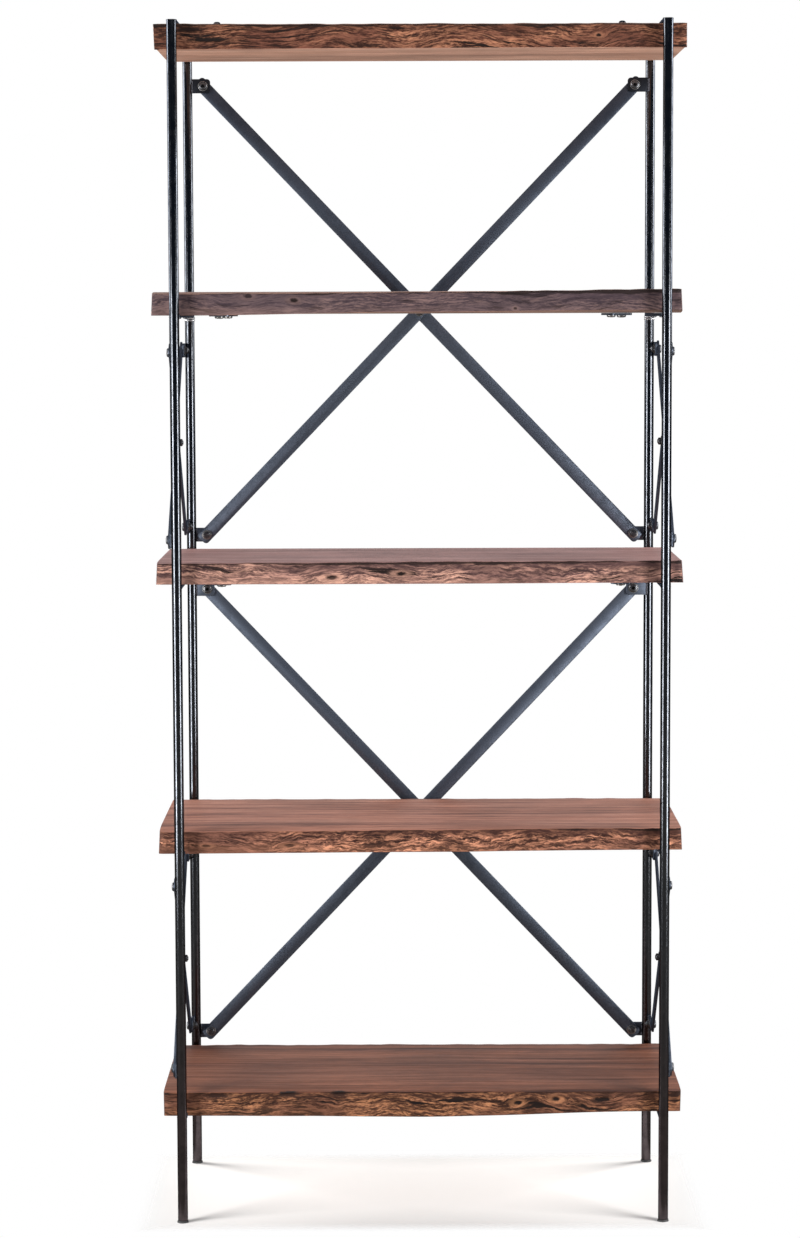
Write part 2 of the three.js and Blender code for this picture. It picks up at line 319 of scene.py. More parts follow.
def makeCamera():
    data = bpy.data.cameras.new("camera")
    data.lens = camera["lens"]
    data.sensor_width = camera["sensor"]
    data.clip_end = camera["clipEnd"]
    eye = bpy.data.objects.new("camera", data)
    bpy.context.scene.collection.objects.link(eye)
    look = Matrix.Rotation(math.radians(camera["turnDeg"]), 4, "Z")
    look @= Matrix.Rotation(math.radians(90 - camera["downDeg"]), 4, "X")
    look @= Matrix.Rotation(math.radians(camera["rollDeg"]), 4, "Z")
    eye.matrix_world = Matrix.Translation(camera["place"]) @ look
    bpy.context.scene.camera = eye


softboxes = {
    "aim": (0, 0, 1.25),
    "highestAim": 1.6,
    "front": {"bearing": 57, "away": 3.0, "height": 1.08, "size": (0.85, 2.05), "watts": 112},
    "rear": {"bearing": 104, "away": 3.0, "height": 2.65, "size": (1.7, 1.5), "watts": 84},
    "over": {"place": (0, -2.6, 4.6), "size": (3.0, 1.6), "watts": 46},
}


def softbox(name, place, size, watts, aim):
    data = bpy.data.lights.new(name, "AREA")
    data.shape = "RECTANGLE"
    data.size, data.size_y = size
    data.energy = watts
    lamp = bpy.data.objects.new(name, data)
    bpy.context.scene.collection.objects.link(lamp)
    lamp.location = place
    lamp.rotation_euler = (Vector(aim) - Vector(place)).to_track_quat("-Z", "Y").to_euler()
    return lamp


def makeLights():
    lamps = []
    for end in ends:
        box = softboxes[end]
        bearing = math.radians(box["bearing"])
        for name, side in zip(sides, (-1, 1)):
            place = (side * box["away"] * math.sin(bearing), -box["away"] * math.cos(bearing),
                     box["height"])
            aim = (0, 0, min(box["height"], softboxes["highestAim"]))
            lamps.append(softbox(f"softbox_{end}_{name}", place, box["size"], box["watts"], aim))
    over = softboxes["over"]
    fill = softbox("softbox_over", over["place"], over["size"], over["watts"], softboxes["aim"])
    fill.data.use_shadow = False  # a plain fill, so that the slabs do not darken one another
    return [*lamps, fill]


studio = {
    "white": (1.0, 1.0, 1.0, 1),
    "bright": (0.52, 0.53, 0.55, 1),  # the white sweep behind, above the horizon
    "dim": (0.036, 0.050, 0.078, 1),  # the rest of the room
    "low": (0.30, 0.285, 0.26, 1),  # the pale ground going on past the floor's edge
    "behind": (-0.2, 0.7),  # spans of direction over which the sweep, its top and the ground fade in
    "above": (-0.10, 0.12),
    "below": (-0.03, -0.25),
    "floor": (0.78, 0.76, 0.735, 1),
    "floorRoughness": 0.9,
    "floorRadius": 3.0,
    "floorFade": {"X": (0.48, 0.56), "Y": (0.225, 0.29)},
}


def makeWorld():
    world = bpy.data.worlds.new("studio")
    bpy.context.scene.world = world
    world.use_nodes = True
    tree = world.node_tree
    tree.nodes.clear()
    out = tree.nodes.new("ShaderNodeOutputWorld")
    way = tree.nodes.new("ShaderNodeTexCoord").outputs["Generated"]
    rise = axisOf(way, "Z")
    behind = rangeNode(axisOf(way, "Y"), *studio["behind"])
    sweep = times(behind, rangeNode(rise, *studio["above"]))
    tint = mixNode(sweep, studio["dim"], studio["bright"])
    tint = mixNode(rangeNode(rise, *studio["below"]), tint, studio["low"])
    room = tree.nodes.new("ShaderNodeBackground")
    seen = tree.nodes.new("ShaderNodeBackground")
    feed(room.inputs["Color"], tint)
    feed(seen.inputs["Color"], studio["white"])
    rays = tree.nodes.new("ShaderNodeLightPath")
    chooseSurface(rays.outputs["Is Camera Ray"], room.outputs[0], seen.outputs[0], out)


def makeFloor():
    clearSelection()
    bpy.ops.mesh.primitive_circle_add(vertices=96, radius=studio["floorRadius"], fill_type="NGON")
    floor = named("floor")
    material = bpy.data.materials.new("studioFloor")
    material.use_nodes = True
    tree = material.node_tree
    tree.nodes.clear()
    out = tree.nodes.new("ShaderNodeOutputMaterial")
    matt = tree.nodes.new("ShaderNodeBsdfPrincipled")
    matt.inputs["Base Color"].default_value = studio["floor"]
    matt.inputs["Roughness"].default_value = studio["floorRoughness"]
    gone = tree.nodes.new("ShaderNodeBsdfTransparent")
    far = vectorNode("ABSOLUTE", tree.nodes.new("ShaderNodeTexCoord").outputs["Object"])
    fades = [rangeNode(axisOf(far, axis), *span) for axis, span in studio["floorFade"].items()]
    chooseSurface(mathNode("MAXIMUM", *fades), matt.outputs[0], gone.outputs[0], out)
    floor.data.materials.append(material)
    return floor


bpy.context.scene.view_settings.view_transform = "Standard"
makeCamera()
roomLamps = makeLights()
makeWorld()
floor = makeFloor()
print("camera, softboxes and floor are up")


def grainGroup():
    # straight sawn grain that runs along X, for the faces of the slabs
    tree, given, made = startGroup(
        "sawnGrain",
        [("Vector", "v"), ("Dark", "c"), ("Middle", "c"), ("Light", "c"), ("Lines", "f")],
        [("Color", "c"), ("Roughness", "f"), ("Height", "f")])
    vector = given["Vector"]
    sway = stretchedNoise(vector, (1.3, 4.0, 4.0))
    waved = moved(vector, "Y", times(minus(sway, 0.5), 0.09))
    bands = stretchedNoise(waved, (0.8, 17, 17), 2.0, 0.5)
    years = stretchedNoise(waved, (2.2, 70, 70), 4.0, 0.65)
    lines = stretchedNoise(waved, (6.0, 170, 170), 4.0, 0.7)
    fibres = stretchedNoise(waved, (26, 900, 900), 2.0, 0.6)
    pores = stretchedNoise(waved, (38, 1300, 1300), 1.0)
    cloud = stretchedNoise(vector, (3.5, 8, 8), 3.0)
    mixed = shared((bands, 0.24), (years, 0.46), (lines, 0.30))
    tone = mixNode(rangeNode(mixed, 0.405, 0.49), given["Dark"], given["Middle"])
    tone = mixNode(rangeNode(mixed, 0.50, 0.575), tone, given["Light"])
    seams = times(rangeNode(lines, 0.54, 0.64), given["Lines"])
    tone = mixNode(seams, tone, given["Dark"])
    streak = rangeNode(fibres, 0.3, 0.7, 0.74, 1.24)
    patch = rangeNode(cloud, 0.3, 0.7, 0.80, 1.20)
    tone = multiplied(tone, times(streak, patch))
    pit = rangeNode(pores, 0.64, 0.72)
    tone = mixNode(times(pit, 0.6), tone, given["Dark"])
    feed(made["Color"], tone)
    rough = rangeNode(years, 0.3, 0.7, 0.54, 0.44)
    feed(made["Roughness"], plus(rough, times(pit, 0.2)))
    feed(made["Height"], shared((fibres, 0.35), (lines, 0.5), (pit, -0.5)))
    return tree


def knotGroup():
    # pushes the figure out round a knot and gives the knot's own mask
    tree, given, made = startGroup(
        "knotFlow", [("Vector", "v"), ("Centre", "v"), ("Size", "v")],
        [("Vector", "v"), ("Core", "f"), ("Halo", "f")])
    away = vectorNode("SUBTRACT", given["Vector"], given["Centre"])
    reach = vectorNode("DIVIDE", away, given["Size"])
    rag = stretchedNoise(given["Vector"], (120, 120, 120))
    far = vectorNode("LENGTH", reach, out="Value")
    far = plus(far, times(minus(rag, 0.5), 0.9))
    near = rangeNode(far, 3.2, 0.4)
    push = addNode("VectorMath", away)
    push.operation = "SCALE"
    feed(push.inputs[0], away)
    feed(push.inputs["Scale"], times(near, -0.75))
    feed(made["Vector"], vectorNode("ADD", given["Vector"], push.outputs[0]))
    feed(made["Core"], rangeNode(far, 1.1, 0.45))
    feed(made["Halo"], rangeNode(far, 2.3, 0.9))
    return tree


def barkGroup():
    # the live edge: flowing figure, gold flecks, near-black streaks
    tree, given, made = startGroup(
        "liveEdge",
        [("Vector", "v"), ("Dark", "c"), ("Middle", "c"), ("Gold", "c"), ("Black", "c"),
         ("Gold Amount", "f"), ("Streaks", "f"), ("Ripple", "f")],
        [("Color", "c"), ("Roughness", "f"), ("Height", "f")])
    vector = given["Vector"]
    sway = stretchedNoise(vector, (5, 4, 5), 2.0)
    curl = stretchedNoise(vector, (58, 16, 90), 2.0)
    bend = times(minus(sway, 0.5), 0.085)
    ripple = times(given["Ripple"], 0.009)
    curled = times(minus(curl, 0.5), ripple)
    waved = moved(vector, "Z", plus(bend, curled))
    flow = stretchedNoise(waved, (8, 6, 75), 5.0, 0.62, 0.1)
    fine = stretchedNoise(waved, (26, 16, 250), 4.0, 0.7, 0.15)
    fleck = stretchedNoise(waved, (90, 60, 430), 3.0, 0.7, 0.2)
    broad = stretchedNoise(vector, (6, 3, 22), 3.0)
    shade = stretchedNoise(waved, (9, 4, 40), 4.0, 0.6, 0.1)
    large = stretchedNoise(waved, (7, 4, 110), 4.0, 0.6, 0.05)
    small = stretchedNoise(waved, (18, 9, 210), 4.0, 0.65, 0.1)
    mixed = shared((flow, 0.34), (fine, 0.42), (fleck, 0.24))
    tone = mixNode(rangeNode(mixed, 0.42, 0.55), given["Dark"], given["Middle"])
    lit = shared((fine, 0.5), (fleck, 0.5))
    glow = times(rangeNode(broad, 0.34, 0.60), given["Gold Amount"])
    bright = times(rangeNode(lit, 0.45, 0.60), glow)
    tone = mixNode(bright, tone, given["Gold"])
    comb = rangeNode(fine, 0.32, 0.68, 0.35, 1.6)
    comb = times(comb, rangeNode(shade, 0.32, 0.6, 0.45, 1.2))
    tone = mixNode(times(given["Ripple"], 0.6), tone, multiplied(tone, comb))
    more = times(minus(given["Streaks"], 0.5), 0.14)
    thin = rangeNode(plus(small, more), 0.55, 0.63, 0.0, 0.85)
    tone = mixNode(thin, tone, mixNode(0.35, given["Black"], given["Dark"]))
    gap = rangeNode(plus(large, more), 0.585, 0.64)
    tone = mixNode(gap, tone, given["Black"])
    feed(made["Color"], tone)
    feed(made["Roughness"], rangeNode(lit, 0.3, 0.7, 0.78, 0.52))
    relief = shared((lit, 0.7), (flow, 0.6), (thin, -0.3), (gap, -0.6))
    feed(made["Height"], relief)
    return tree


def endGroup():
    # sawn ends: flat arcs of the year rings, crossed by fine rays
    tree, given, made = startGroup(
        "endGrain", [("Vector", "v"), ("Pith", "v"), ("Dark", "c"), ("Middle", "c")],
        [("Color", "c"), ("Roughness", "f"), ("Height", "f")])
    vector = given["Vector"]
    away = vectorNode("SUBTRACT", vector, given["Pith"])
    far = vectorNode("LENGTH", vectorNode("MULTIPLY", away, (0, 1, 1)), out="Value")
    wobble = stretchedNoise(vector, (30, 30, 30), 3.0)
    far = plus(far, times(wobble, 0.012))
    rings = mathNode("SINE", times(far, 1100))
    speck = stretchedNoise(vector, (900, 900, 900), 2.0)
    broad = stretchedNoise(vector, (6, 14, 60), 3.0)
    tone = mixNode(rangeNode(rings, -0.6, 1.0, 0.05, 0.75), given["Dark"], given["Middle"])
    tone = mixNode(rangeNode(broad, 0.38, 0.58, 0.75, 0.0), tone, given["Dark"])
    tone = multiplied(tone, rangeNode(speck, 0.3, 0.7, 0.6, 1.15))
    feed(made["Color"], tone)
    feed(made["Roughness"], rangeNode(speck, 0.3, 0.7, 0.7, 0.55))
    feed(made["Height"], plus(speck, times(rings, 0.2)))
    return tree


def ironGroup():
    # blackened iron: cloudy tone, fine scale, a few rubbed specks
    tree, given, made = startGroup(
        "blackenedIron",
        [("Vector", "v"), ("Base", "c"), ("Rubbed", "c"), ("Gloss", "f"), ("Wear", "f")],
        [("Color", "c"), ("Roughness", "f"), ("Height", "f")])
    vector = given["Vector"]
    cloud = noiseNode(vector, 55, 5.0, 0.6)
    scale = noiseNode(vector, 420, 4.0, 0.65)
    grit = noiseNode(vector, 1500, 2.0, 0.6)
    spots = noiseNode(vector, 170, 6.0, 0.75)
    tone = multiplied(given["Base"], rangeNode(cloud, 0.3, 0.7, 0.78, 1.24))
    tone = multiplied(tone, rangeNode(scale, 0.3, 0.7, 0.86, 1.16))
    rub = times(rangeNode(spots, 0.66, 0.74), given["Wear"])
    feed(made["Color"], mixNode(rub, tone, given["Rubbed"]))
    rough = plus(given["Gloss"], rangeNode(cloud, 0.3, 0.7, 0.07, -0.05))
    rough = plus(rough, rangeNode(scale, 0.3, 0.7, 0.05, -0.03))
    feed(made["Roughness"], rough)
    feed(made["Height"], shared((scale, 0.7), (grit, 0.3), (rub, -0.25)))
    return tree


groups = {
    "grain": grainGroup(),
    "knot": knotGroup(),
    "bark": barkGroup(),
    "end": endGroup(),
    "iron": ironGroup(),
}


# materials

def startMaterial(name):
    material = bpy.data.materials.new(name)
    material.use_nodes = True
    nodes = material.node_tree.nodes
    coords = nodes.new("ShaderNodeTexCoord").outputs["Object"]
    return material, nodes["Principled BSDF"], coords


def useGroup(key, **values):
    node = addNode("Group", *values.values())
    node.node_tree = groups[key]
    feedAll(node, **values)
    return node


def dress(shader, colour, roughness, height, strength, distance):
    bump = addNode("Bump", height)
    feedAll(bump, Strength=strength, Distance=distance, Height=height)
    feed(shader.inputs["Base Color"], colour)
    feed(shader.inputs["Roughness"], roughness)
    feed(shader.inputs["Normal"], bump.outputs["Normal"])


def ironMaterial(name, base, rubbed, gloss, wear, bump, paintedLightByHeight=None):
    material, shader, coords = startMaterial(name)
    skin = useGroup("iron", Vector=coords, Base=base, Rubbed=rubbed, Gloss=gloss, Wear=wear)
    tone = skin.outputs["Color"]
    if paintedLightByHeight:  # painted light: the colour is tinted from one height to another, as a painted reflection of the floor low on the rods and as painted shade high on the bars
        first, last, tint = paintedLightByHeight
        share = rangeNode(axisOf(coords, "Z"), first, last)
        tone = multiplied(tone, mixNode(share, (1, 1, 1, 1), tint))
    dress(shader, tone, skin.outputs["Roughness"], skin.outputs["Height"], bump, 0.0004)
    shader.inputs["Metallic"].default_value = 1.0
    shader.inputs["Specular Tint"].default_value = (0.22, 0.23, 0.25, 1)  # rims stay dark
    return material


iron = {
    # the rods' warm tint low down is a painted reflection of the floor, and the bars' darkening towards the
    # top is painted shade
    "rod": ironMaterial("rodIron", (0.064, 0.068, 0.076, 1), (0.12, 0.115, 0.11, 1), 0.17, 0.1, 0.012,
                        (0.55, 0.12, (1.3, 1.0, 0.94, 1))),
    "bar": ironMaterial("barIron", (0.099, 0.116, 0.150, 1), (0.16, 0.16, 0.17, 1), 0.46, 0.4, 0.12,
                        (1.86, 2.16, (0.45, 0.45, 0.47, 1))),
    # a much darker copy of the bar finish, for the tabs high up: painted shade
    "tab": ironMaterial("shadedTabIron", (0.022, 0.024, 0.030, 1), (0.1, 0.1, 0.1, 1), 0.42, 0.4, 0.12),
    "bolt": ironMaterial("boltIron", (0.12, 0.122, 0.13, 1), (0.4, 0.4, 0.4, 1), 0.3, 0.8, 0.2),
    "zinc": ironMaterial("dulledZinc", (0.24, 0.235, 0.23, 1), (0.6, 0.6, 0.58, 1), 0.36, 0.8, 0.3),
    # a bright finish for the rear welds of one level: a painted highlight
    "weldHighlight": ironMaterial("weldHighlightIron", (0.62, 0.62, 0.63, 1), (0.3, 0.29, 0.27, 1), 0.3, 0.9, 0.5),
    "weld": ironMaterial("weldIron", (0.06, 0.06, 0.07, 1), (0.2, 0.19, 0.17, 1), 0.38, 0.9, 0.5),
}


def gliderMaterial():
    material, shader, coords = startMaterial("footRubber")
    haze = noiseNode(coords, 300, 4.0)
    tone = mixNode(haze, (0.008, 0.008, 0.009, 1), (0.03, 0.029, 0.028, 1))
    dress(shader, tone, rangeNode(haze, 0.3, 0.7, 0.75, 0.55), haze, 0.3, 0.0004)
    return material


footRubber = gliderMaterial()

# each slab is cut from another log, so it has its own tones and its own knots; the tones also carry painted
# light: the top slab's sawn-face tones are raised as painted light from below on its underside, and the
# lowest slab's are lowered as painted shade
# a knot is (along the slab from the middle, share of the height, half length, half height)
slabs = {
    5: {
        "middle": (0.4704, 0.252, 0.1736, 1), "light": (0.6272, 0.3696, 0.2688, 1),
        "dark": (0.2912, 0.1456, 0.1008, 1), "edge": (0.1586, 0.0592, 0.0376, 1),
        "gold": (0.4297, 0.1885, 0.1035, 1), "shade": (0.0348, 0.0126, 0.0084, 1), "goldAmount": 0.9,
        "streaks": (0.7, 0.25), "ripple": 0.45, "sap": (0.0, 0.0), "paintedShadeBand": (0.4, 0.3),
        "knots": [(0.334, 0.45, 0.006, 0.004), (-0.395, 0.3, 0.05, 0.0055), (-0.43, 0.76, 0.035, 0.006),
                  (-0.045, 0.8, 0.022, 0.004)],
    },
    4: {
        "middle": (0.26, 0.145, 0.11, 1), "light": (0.36, 0.21, 0.16, 1),
        "dark": (0.12, 0.065, 0.05, 1), "edge": (0.0986, 0.065, 0.069, 1),
        "gold": (0.2352, 0.1438, 0.126, 1), "shade": (0.0493, 0.0325, 0.0398, 1), "goldAmount": 0.5,
        "streaks": (0.35, 0.3), "ripple": 0.4, "sap": (0.6, 0.1), "paintedShadeBand": (0.3, 0.5),
        "knots": [(-0.325, 0.8, 0.01, 0.005), (-0.238, 0.62, 0.009, 0.005), (0.178, 0.22, 0.004, 0.003)],
    },
    3: {
        "middle": (0.298, 0.157, 0.14, 1), "light": (0.405, 0.225, 0.206, 1),
        "dark": (0.155, 0.08, 0.072, 1), "edge": (0.2249, 0.1178, 0.0961, 1),
        "gold": (0.6105, 0.3352, 0.2457, 1), "shade": (0.075, 0.0378, 0.0371, 1), "goldAmount": 1.0,
        "streaks": (0.3, 0.5), "ripple": 0.7, "sap": (0.5, 0.0), "paintedShadeBand": (0.2, 0.85),
        "knots": [(-0.17, 0.3, 0.014, 0.005), (-0.039, 0.45, 0.013, 0.0045)],
    },
    2: {
        "middle": (0.2878, 0.1197, 0.0779, 1), "light": (0.3895, 0.1777, 0.1187, 1),
        "dark": (0.1377, 0.0541, 0.0361, 1), "edge": (0.1541, 0.0657, 0.0446, 1),
        "gold": (0.498, 0.2192, 0.1267, 1), "shade": (0.0534, 0.0208, 0.0157, 1), "goldAmount": 0.95,
        "streaks": (0.25, 0.4), "ripple": 1.3, "sap": (0.3, 0.1), "paintedShadeBand": (0.3, 0.8),
        "knots": [(-0.412, 0.22, 0.01, 0.003), (-0.252, 0.22, 0.014, 0.0035)],
    },
    1: {
        "middle": (0.1399, 0.0479, 0.0242, 1), "light": (0.2121, 0.0782, 0.0414, 1),
        "dark": (0.0535, 0.0176, 0.0098, 1), "edge": (0.1533, 0.0637, 0.0396, 1),
        "gold": (0.4966, 0.2173, 0.1017, 1), "shade": (0.0497, 0.0202, 0.0127, 1), "goldAmount": 0.9,
        "streaks": (0.6, 0.5), "ripple": 0.8, "sap": (0.1, 0.0), "paintedShadeBand": (0.5, 0.5),
        "knots": [(-0.258, 0.88, 0.022, 0.0075), (-0.16, 0.88, 0.019, 0.0065),
                  (-0.395, 0.8, 0.03, 0.006), (0.183, 0.42, 0.01, 0.005), (0.256, 0.6, 0.01, 0.005),
                  (0.345, 0.55, 0.024, 0.006)],
    },
}
# near black for knot cores, bark pockets and streaks, and for the painted shade under the top corner
blackWoodAndShade = (0.012, 0.007, 0.006, 1)


def knotChain(coords, level, low, high):
    # the knots lie on the front live edge, and their halo reaches the face above
    vector, cores, halos = coords, None, None
    for along, rise, halfLong, halfTall in slabs[level]["knots"]:
        centre = (along, low.y + 0.004, low.z + rise * (high.z - low.z))
        knot = useGroup("knot", Vector=vector, Centre=centre, Size=(halfLong, 0.012, halfTall))
        core = knot.outputs["Core"]
        cores = core if cores is None else mathNode("MAXIMUM", cores, core)
        if halfLong < 0.018:  # the long ones are bark pockets, which the grain does not go round
            vector = knot.outputs["Vector"]
            halo = knot.outputs["Halo"]
            halos = halo if halos is None else mathNode("MAXIMUM", halos, halo)
    return vector, cores, halos


def faceMaterial(level, low, high):
    slab = slabs[level]
    material, shader, coords = startMaterial(f"sawnFace{level}")
    grain = useGroup("grain", Vector=coords, Dark=slab["dark"], Middle=slab["middle"],
                     Light=slab["light"], Lines=0.55)
    cores = knotChain(coords, level, low, high)[1]
    tone = mixNode(cores, grain.outputs["Color"], blackWoodAndShade)
    dress(shader, tone, grain.outputs["Roughness"], grain.outputs["Height"], 0.25, 0.0005)
    shader.inputs["Specular IOR Level"].default_value = 0.25
    return material


def edgeMaterial(level, low, high):
    slab = slabs[level]
    material, shader, coords = startMaterial(f"liveEdge{level}")
    vector, cores, halos = knotChain(coords, level, low, high)
    leftRight = rangeNode(axisOf(coords, "X"), 0.8 * low.x, 0.8 * high.x, smooth=False)
    streaks = rangeNode(leftRight, 0.0, 1.0, *slab["streaks"], smooth=False)
    bark = useGroup("bark", Vector=vector, Dark=slab["shade"], Middle=slab["edge"], Gold=slab["gold"],
                    Black=blackWoodAndShade, Gold_Amount=slab["goldAmount"], Streaks=streaks, Ripple=slab["ripple"])
    tone = mixNode(times(halos, 0.35), bark.outputs["Color"], slab["gold"])
    tone = mixNode(cores, tone, blackWoodAndShade)
    # painted shade under the top corner: a dark line and a darker band below it; and pale sapwood low down
    ragged = stretchedNoise(coords, (11, 8, 30), 4.0, 0.6)
    rise = plus(axisOf(coords, "Z"), times(ragged, 0.018))
    paintedShadeBand = rangeNode(rise, high.z - 0.010, high.z + 0.001)
    paintedShadeShare = rangeNode(leftRight, 0.0, 1.0, *slab["paintedShadeBand"], smooth=False)
    tone = mixNode(times(paintedShadeBand, paintedShadeShare), tone, slab["shade"])
    paintedShadeLine = rangeNode(rise, high.z + 0.0035, high.z + 0.006, 0.0, 0.85)
    tone = mixNode(paintedShadeLine, tone, blackWoodAndShade)
    sapShare = rangeNode(leftRight, 0.0, 1.0, *slab["sap"], smooth=False)
    sapwood = times(rangeNode(rise, low.z + 0.026, low.z + 0.012), sapShare)
    tone = mixNode(sapwood, tone, mixNode(0.4, slab["gold"], bark.outputs["Color"]))
    height = minus(bark.outputs["Height"], times(cores, 0.8))
    dress(shader, tone, bark.outputs["Roughness"], height, 0.55, 0.0012)
    shader.inputs["Specular IOR Level"].default_value = 0.12
    return material


def endMaterial(level, low, high):
    slab = slabs[level]
    material, shader, coords = startMaterial(f"endGrain{level}")
    rings = useGroup("end", Vector=coords, Pith=(0, 0.05, low.z - 0.16),
                     Dark=slab["shade"], Middle=slab["middle"])
    dress(shader, rings.outputs["Color"], rings.outputs["Roughness"], rings.outputs["Height"],
          0.4, 0.0005)
    shader.inputs["Specular IOR Level"].default_value = 0.2
    return material


print("finishes are mixed")


# the five slabs

slabCut = {
    "lengthCuts": 560,
    "heightCuts": 20,
    "inset": 0.003,  # room left for the live edge to wander in
    "arris": 0.0015,
    "rows": (0.2003, 0.1988, 0.197, 0.194, 0.189, 0.181, 0.168, 0.15, 0.12),
    "corner": 0.0055,
    "edgeFrom": 0.12,  # the outline starts to wander here and wanders fully this much further out
    "edgeOver": 0.06,
    "faceDeep": 0.0016,
    "faceFade": 0.006,
    "faceLeast": 0.08,
    "arrisFrom": 0.185,
    "arrisDeep": 0.012,
    "bowFrom": 0.15,
    "curveHalf": 0.44,
    "knotFront": -0.19,
    "knotMargin": 0.004,
    "knotSteps": ((1.6, -0.0006), (1.0, 0.0014), (0.6, 0.0016)),  # share of its size, and push
}
# how far each end goes past the half length at the bottom and at the top, how much the front
# corner sinks at the top and hangs at the bottom (left, middle, right), and the same at the rear
slabShape = {
    5: {"left": (-0.004, -0.002), "right": (-0.001, -0.001), "wane": (0.0, 0.0006, 0.001),
        "hang": (0.0055, 0.0045, 0.0045), "rear": (0.003, -0.0045)},
    4: {"left": (0.007, 0.005), "right": (-0.007, -0.009), "wane": (0.0035, 0.002, -0.002),
        "hang": (0.0025, -0.003, -0.005), "rear": (0.002, -0.004)},
    3: {"left": (0.003, 0.001), "right": (-0.003, -0.006), "wane": (0.002, 0.0, -0.001),
        "hang": (0.0, 0.0, -0.001), "rear": (0.006, 0.0)},
    2: {"left": (0.003, 0.001), "right": (-0.003, -0.005), "wane": (0.006, 0.003, 0.001),
        "hang": (0.006, 0.004, 0.001), "rear": (0.0045, 0.002)},
    1: {"left": (-0.002, -0.0015), "right": (-0.004, -0.003), "wane": (0.003, 0.0025, 0.003),
        "hang": (0.0065, 0.010, 0.0), "rear": (0.002, 0.002)},
}
slabRelief = (
    # name, group, direction, strength, texture size, stretch along each axis
    ("wander", "edge", "Y", 0.0050, 0.22, (1, 50, 50)),
    ("swell", "face", "Y", 0.0045, 0.05, (1.8, 1, 0.7)),
    ("bark", "face", "Y", 0.0026, 0.010, (3.0, 1, 0.8)),
    ("grit", "face", "NORMAL", 0.0008, 0.0045, (3.0, 1, 0.7)),
    ("ragged", "arris", "Z", 0.0035, 0.03, (1.5, 50, 50)),
)


def stretchHelper(scale, shift):
    helper = bpy.data.objects.new("stretch", None)
    bpy.context.scene.collection.objects.link(helper)
    helper.scale = scale
    helper.location = shift
    return helper


def paintGroup(piece, name, weight):
    group = piece.vertex_groups.new(name=name)
    for vert in piece.data.vertices:
        amount = weight(vert.co)
        if amount > 0:
            group.add([vert.index], amount, "REPLACE")


def between(values, along):
    # a smooth curve through three values at the left, the middle and the right
    share = min(abs(along) / slabCut["curveHalf"], 1)
    share = share * share * (3 - 2 * share)
    end = values[0] if along < 0 else values[2]
    return values[1] + (end - values[1]) * share


def clamped(value):
    return max(0.0, min(1.0, value))


